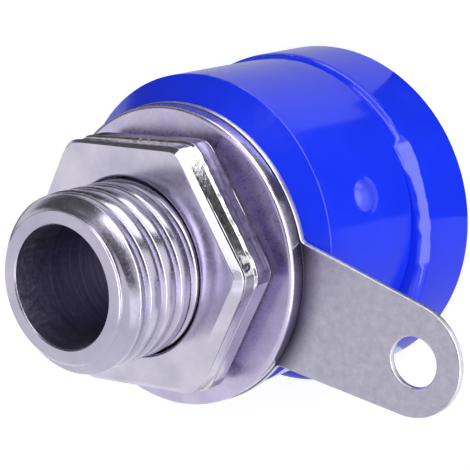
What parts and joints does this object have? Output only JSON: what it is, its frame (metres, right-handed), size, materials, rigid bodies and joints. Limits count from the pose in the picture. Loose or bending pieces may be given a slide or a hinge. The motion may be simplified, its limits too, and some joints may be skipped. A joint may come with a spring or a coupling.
{
  "type": "insulated panel socket with solder tag",
  "caption": "Insulated 4 mm plug socket for a panel: blue insulators on a threaded, open-ended metal sleeve, clamped by a hex nut over a washer and a solder tag.",
  "frame": {"origin": "centre of the front insulator's flat front face, on the sleeve's axis", "axes": "+Z along the sleeve's axis from the plug side to the threaded end, +X along the solder tag"},
  "size_m": [0.0177, 0.0124, 0.0152],
  "materials": {
    "blue_plastic": "satin gloss moulded plastic",
    "bright_nickel": "bright nickel plate on brass",
    "satin_nickel": "satin nickel plate on sheet brass",
    "washer_steel": "satin nickel plate on steel"
  },
  "bodies": {
    "socket": {"front_insulator": "blue_plastic", "sleeve": "bright_nickel"},
    "clamp": {"rear_insulator": "blue_plastic", "washer": "washer_steel"},
    "tag": {"solder_tag": "satin_nickel"},
    "nut": {"hex_nut": "bright_nickel"}
  },
  "joints": [
    {"name": "clamp_slide", "type": "slide", "parent": "socket", "child": "clamp", "axis": [0, 0, 1], "range_m": [0, 0.003]},
    {"name": "nut_turn", "type": "hinge", "parent": "clamp", "child": "nut", "pos_m": [0, 0, 0.0098], "axis": [0, 0, 1], "range_deg": [0, 1440]},
    {"name": "tag_swivel", "type": "hinge", "parent": "clamp", "child": "tag", "pos_m": [0, -0.0001, 0.00895], "axis": [0, 0, 1], "continuous": true}
  ],
  "couplings": [
    {"joint": "nut_turn", "follows": "clamp_slide", "rad_per_m": 8377.6}
  ]
}
